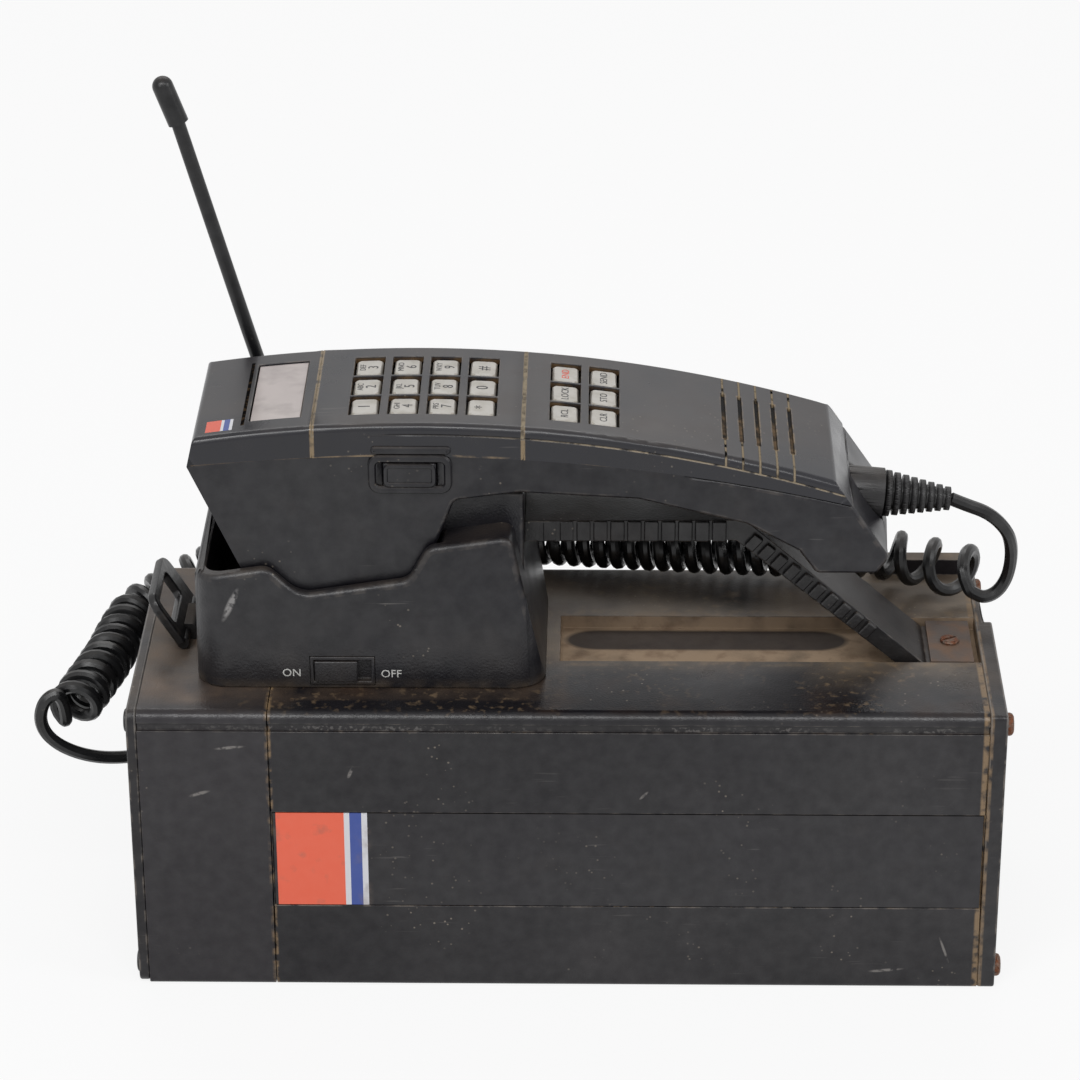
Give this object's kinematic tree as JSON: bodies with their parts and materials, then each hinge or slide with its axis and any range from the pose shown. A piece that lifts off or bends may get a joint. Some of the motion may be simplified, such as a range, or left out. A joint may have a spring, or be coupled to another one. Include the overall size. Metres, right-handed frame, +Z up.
{
  "type": "transportable cellular telephone",
  "caption": "Transportable radio telephone: a boxed transceiver with a corded handset in a top cradle, a carrying handle, a fold-down whip antenna and a strap loop.",
  "frame": {"origin": "centre of the casing's underside, on the surface that it stands on", "axes": "+X along the casing from the cradle end to the handset's cord end, +Y from the front with the label to the rear, +Z up"},
  "size_m": [0.2887, 0.1122, 0.2483],
  "materials": {
    "casing_paint": "satin black enamel, dusty and scuffed",
    "cap_moulding": "fine-grained black moulding",
    "label_film": null,
    "cradle_moulding": "black moulding with a light grain",
    "handset_moulding": "satin black moulding",
    "key_moulding": "warm grey with dark legends",
    "lens_acrylic": "pinkish grey tinted window",
    "handle_rubber": "ribbed black rubber",
    "cord_rubber": "smooth black sleeve",
    "antenna_rubber": "smooth black sleeve",
    "black_metal": "black painted steel",
    "pin_steel": "plain steel",
    "screw_steel": "rusty steel",
    "anchor_metal": "dusty painted plate",
    "battery_wrap": "wrapped rechargeable cells",
    "tray_moulding": "plain",
    "board_laminate": "green circuit laminate",
    "shield_tin": "tinned steel",
    "mat_rubber": "grey silicone",
    "capsule_moulding": "plain",
    "magnet_metal": "plain"
  },
  "bodies": {
    "casing": {"left_end_cap": "cap_moulding", "right_end_cap": "cap_moulding", "end_cap_screws": "screw_steel", "left_housing": "casing_paint", "main_housing": "casing_paint", "front_label": "label_film", "cradle": "cradle_moulding", "cradle_and_handle_screws": "screw_steel", "switch_frame": "cradle_moulding", "carrying_handle": "handle_rubber", "handle_anchor_plate": "anchor_metal", "strap_loop_bracket": "black_metal", "antenna_socket": "black_metal", "antenna_pin": "pin_steel", "cord_gland": "handle_rubber", "cord_lead_handset": "cord_rubber", "cord_coil": "cord_rubber", "cord_lead_casing": "cord_rubber", "battery_cells": "battery_wrap", "battery_tray": "tray_moulding", "radio_board": "board_laminate", "radio_shield": "shield_tin", "power_board": "board_laminate"},
    "handset": {"handset_lower_shell": "handset_moulding", "display_cover": "handset_moulding", "keypad_cover": "handset_moulding", "grille_cover": "handset_moulding", "display_lens": "lens_acrylic", "display_module": "board_laminate", "keypad_mat": "mat_rubber", "handset_board": "board_laminate", "earpiece_capsule": "capsule_moulding", "microphone_capsule": "capsule_moulding", "hook_magnet": "magnet_metal", "handset_screws": "screw_steel", "strain_relief": "handle_rubber"},
    "antenna": {"antenna_knuckle": "black_metal", "antenna_whip": "antenna_rubber", "antenna_tip": "antenna_rubber"},
    "strap_loop": {"strap_loop": "black_metal"},
    "switch_slider": {"switch_slider": "cradle_moulding"},
    "side_key": {"side_key": "handset_moulding"},
    "key_1": {"key_1": "key_moulding"},
    "key_4": {"key_4": "key_moulding"},
    "key_7": {"key_7": "key_moulding"},
    "key_star": {"key_star": "key_moulding"},
    "key_recall": {"key_recall": "key_moulding"},
    "key_clear": {"key_clear": "key_moulding"},
    "key_2": {"key_2": "key_moulding"},
    "key_5": {"key_5": "key_moulding"},
    "key_8": {"key_8": "key_moulding"},
    "key_zero": {"key_zero": "key_moulding"},
    "key_lock": {"key_lock": "key_moulding"},
    "key_store": {"key_store": "key_moulding"},
    "key_3": {"key_3": "key_moulding"},
    "key_6": {"key_6": "key_moulding"},
    "key_9": {"key_9": "key_moulding"},
    "key_hash": {"key_hash": "key_moulding"},
    "key_end": {"key_end": "key_moulding"},
    "key_send": {"key_send": "key_moulding"}
  },
  "joints": [
    {"name": "handset_lift", "type": "slide", "parent": "casing", "child": "handset", "axis": [0, 0, 1], "range_m": [0, 0.09]},
    {"name": "antenna_fold", "type": "hinge", "parent": "casing", "child": "antenna", "pos_m": [-0.0739, 0.0382, 0.104], "axis": [0, 1, 0], "range_deg": [-57, 92]},
    {"name": "strap_loop_swing", "type": "hinge", "parent": "casing", "child": "strap_loop", "pos_m": [-0.111, 0.0046, 0.0923], "axis": [0, 1, 0], "range_deg": [-59, 38]},
    {"name": "power_switch_slide", "type": "slide", "parent": "casing", "child": "switch_slider", "axis": [1, 0, 0], "range_m": [0, 0.0036]},
    {"name": "side_key_press", "type": "slide", "parent": "handset", "child": "side_key", "axis": [0, 1, 0], "range_m": [0, 0.001], "stiffness_N_per_m": 200},
    {"name": "key_1_press", "type": "slide", "parent": "handset", "child": "key_1", "axis": [0.036, 0, -0.9994], "range_m": [0, 0.0012], "stiffness_N_per_m": 150},
    {"name": "key_4_press", "type": "slide", "parent": "handset", "child": "key_4", "axis": [0.0088, 0, -1], "range_m": [0, 0.0012], "stiffness_N_per_m": 150},
    {"name": "key_7_press", "type": "slide", "parent": "handset", "child": "key_7", "axis": [-0.0183, 0, -0.9998], "range_m": [0, 0.0012], "stiffness_N_per_m": 150},
    {"name": "key_star_press", "type": "slide", "parent": "handset", "child": "key_star", "axis": [-0.0455, 0, -0.999], "range_m": [0, 0.0012], "stiffness_N_per_m": 150},
    {"name": "key_recall_press", "type": "slide", "parent": "handset", "child": "key_recall", "axis": [-0.1038, 0, -0.9946], "range_m": [0, 0.0012], "stiffness_N_per_m": 150},
    {"name": "key_clear_press", "type": "slide", "parent": "handset", "child": "key_clear", "axis": [-0.1309, 0, -0.9914], "range_m": [0, 0.0012], "stiffness_N_per_m": 150},
    {"name": "key_2_press", "type": "slide", "parent": "handset", "child": "key_2", "axis": [0.036, 0, -0.9994], "range_m": [0, 0.0012], "stiffness_N_per_m": 150},
    {"name": "key_5_press", "type": "slide", "parent": "handset", "child": "key_5", "axis": [0.0088, 0, -1], "range_m": [0, 0.0012], "stiffness_N_per_m": 150},
    {"name": "key_8_press", "type": "slide", "parent": "handset", "child": "key_8", "axis": [-0.0183, 0, -0.9998], "range_m": [0, 0.0012], "stiffness_N_per_m": 150},
    {"name": "key_zero_press", "type": "slide", "parent": "handset", "child": "key_zero", "axis": [-0.0455, 0, -0.999], "range_m": [0, 0.0012], "stiffness_N_per_m": 150},
    {"name": "key_lock_press", "type": "slide", "parent": "handset", "child": "key_lock", "axis": [-0.1038, 0, -0.9946], "range_m": [0, 0.0012], "stiffness_N_per_m": 150},
    {"name": "key_store_press", "type": "slide", "parent": "handset", "child": "key_store", "axis": [-0.1309, 0, -0.9914], "range_m": [0, 0.0012], "stiffness_N_per_m": 150},
    {"name": "key_3_press", "type": "slide", "parent": "handset", "child": "key_3", "axis": [0.036, 0, -0.9994], "range_m": [0, 0.0012], "stiffness_N_per_m": 150},
    {"name": "key_6_press", "type": "slide", "parent": "handset", "child": "key_6", "axis": [0.0088, 0, -1], "range_m": [0, 0.0012], "stiffness_N_per_m": 150},
    {"name": "key_9_press", "type": "slide", "parent": "handset", "child": "key_9", "axis": [-0.0183, 0, -0.9998], "range_m": [0, 0.0012], "stiffness_N_per_m": 150},
    {"name": "key_hash_press", "type": "slide", "parent": "handset", "child": "key_hash", "axis": [-0.0455, 0, -0.999], "range_m": [0, 0.0012], "stiffness_N_per_m": 150},
    {"name": "key_end_press", "type": "slide", "parent": "handset", "child": "key_end", "axis": [-0.1038, 0, -0.9946], "range_m": [0, 0.0012], "stiffness_N_per_m": 150},
    {"name": "key_send_press", "type": "slide", "parent": "handset", "child": "key_send", "axis": [-0.1309, 0, -0.9914], "range_m": [0, 0.0012], "stiffness_N_per_m": 150}
  ]
}
